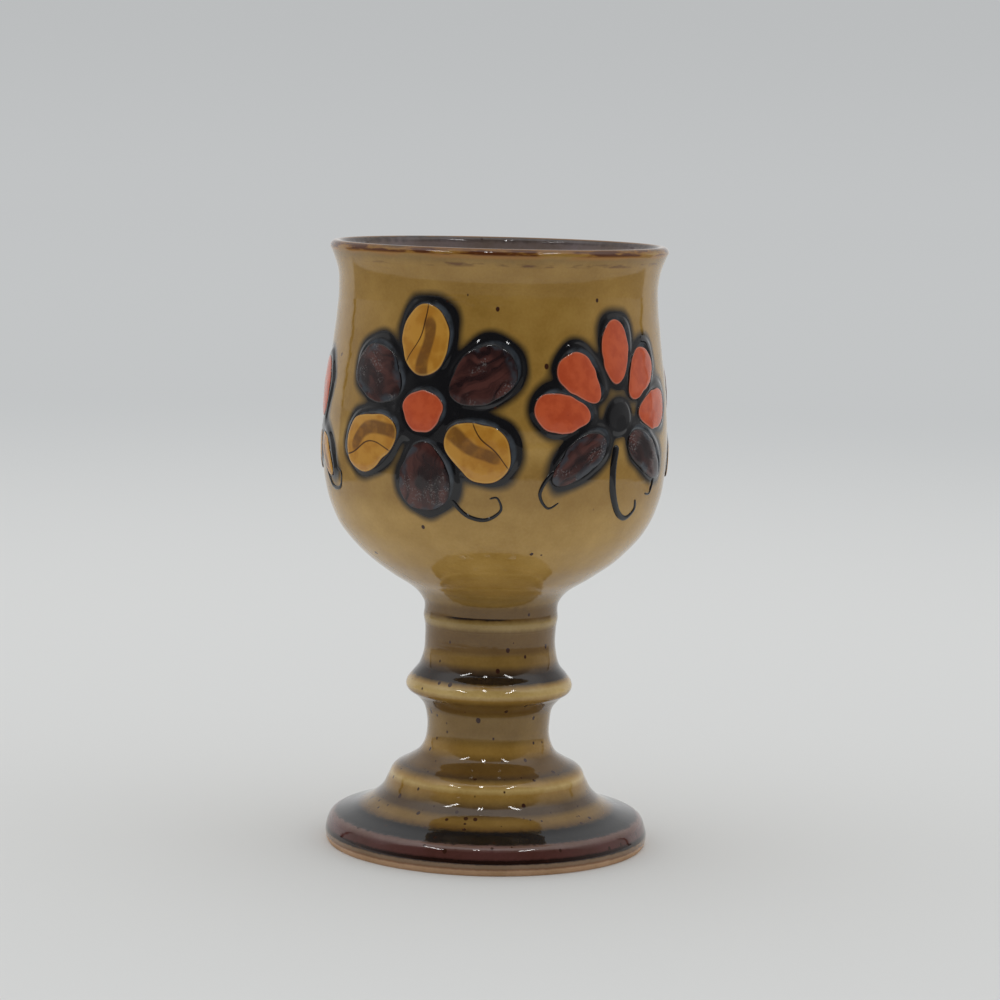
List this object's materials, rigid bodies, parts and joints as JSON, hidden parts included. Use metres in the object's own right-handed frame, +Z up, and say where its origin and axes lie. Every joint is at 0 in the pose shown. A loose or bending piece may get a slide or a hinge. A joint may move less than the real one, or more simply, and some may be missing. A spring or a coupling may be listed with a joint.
{
  "type": "stoneware goblet",
  "caption": "Glazed stoneware goblet: round-bellied bowl with a flared lip on a hollow turned pedestal with a knop ring and stepped foot, and a painted floral band.",
  "frame": {"origin": "centre of the foot ring's resting plane", "axes": "+Z up along the turning axis; -Y is the front, between the flower and the sprig; +X to the right seen from the front"},
  "size_m": [0.0814, 0.0814, 0.14],
  "materials": {
    "honey_glaze": "glossy honey glaze with iron specks, dark aubergine-brown liner inside the bowl",
    "glazed_slip": "luting slip under the same glossy honey glaze",
    "dark_slip": "glossy blue-black slip, soft at its edges",
    "amber_enamel": "glossy raised amber enamel",
    "aubergine_enamel": "satin aubergine-brown enamel with crystalline mottling",
    "orange_enamel": "glossy raised orange-red enamel"
  },
  "bodies": {
    "root": {"bowl": "honey_glaze", "luting_slip": "glazed_slip", "pedestal": "honey_glaze", "flower_1_slip_ground": "dark_slip", "flower_1_button": "orange_enamel", "flower_1_petal_1": "amber_enamel", "flower_1_petal_2": "aubergine_enamel", "flower_1_petal_3": "amber_enamel", "flower_1_petal_4": "aubergine_enamel", "flower_1_petal_5": "amber_enamel", "flower_1_petal_6": "aubergine_enamel", "sprig_1_slip_ground": "dark_slip", "sprig_1_stalk": "dark_slip", "sprig_1_drop_1": "orange_enamel", "sprig_1_drop_2": "orange_enamel", "sprig_1_drop_3": "orange_enamel", "sprig_1_drop_4": "orange_enamel", "sprig_1_drop_5": "orange_enamel", "sprig_1_leaf_1": "aubergine_enamel", "sprig_1_leaf_2": "aubergine_enamel", "bud_1_slip_ground": "dark_slip", "bud_1_drop_1": "orange_enamel", "bud_1_leaf_1": "amber_enamel", "bud_1_leaf_2": "amber_enamel", "flower_2_slip_ground": "dark_slip", "flower_2_button": "orange_enamel", "flower_2_petal_1": "amber_enamel", "flower_2_petal_2": "aubergine_enamel", "flower_2_petal_3": "amber_enamel", "flower_2_petal_4": "aubergine_enamel", "flower_2_petal_5": "amber_enamel", "flower_2_petal_6": "aubergine_enamel", "sprig_2_slip_ground": "dark_slip", "sprig_2_stalk": "dark_slip", "sprig_2_drop_1": "orange_enamel", "sprig_2_drop_2": "orange_enamel", "sprig_2_drop_3": "orange_enamel", "sprig_2_drop_4": "orange_enamel", "sprig_2_drop_5": "orange_enamel", "sprig_2_leaf_1": "aubergine_enamel", "sprig_2_leaf_2": "aubergine_enamel", "bud_2_slip_ground": "dark_slip", "bud_2_drop_1": "orange_enamel", "bud_2_leaf_1": "amber_enamel", "bud_2_leaf_2": "amber_enamel"}
  },
  "joints": []
}
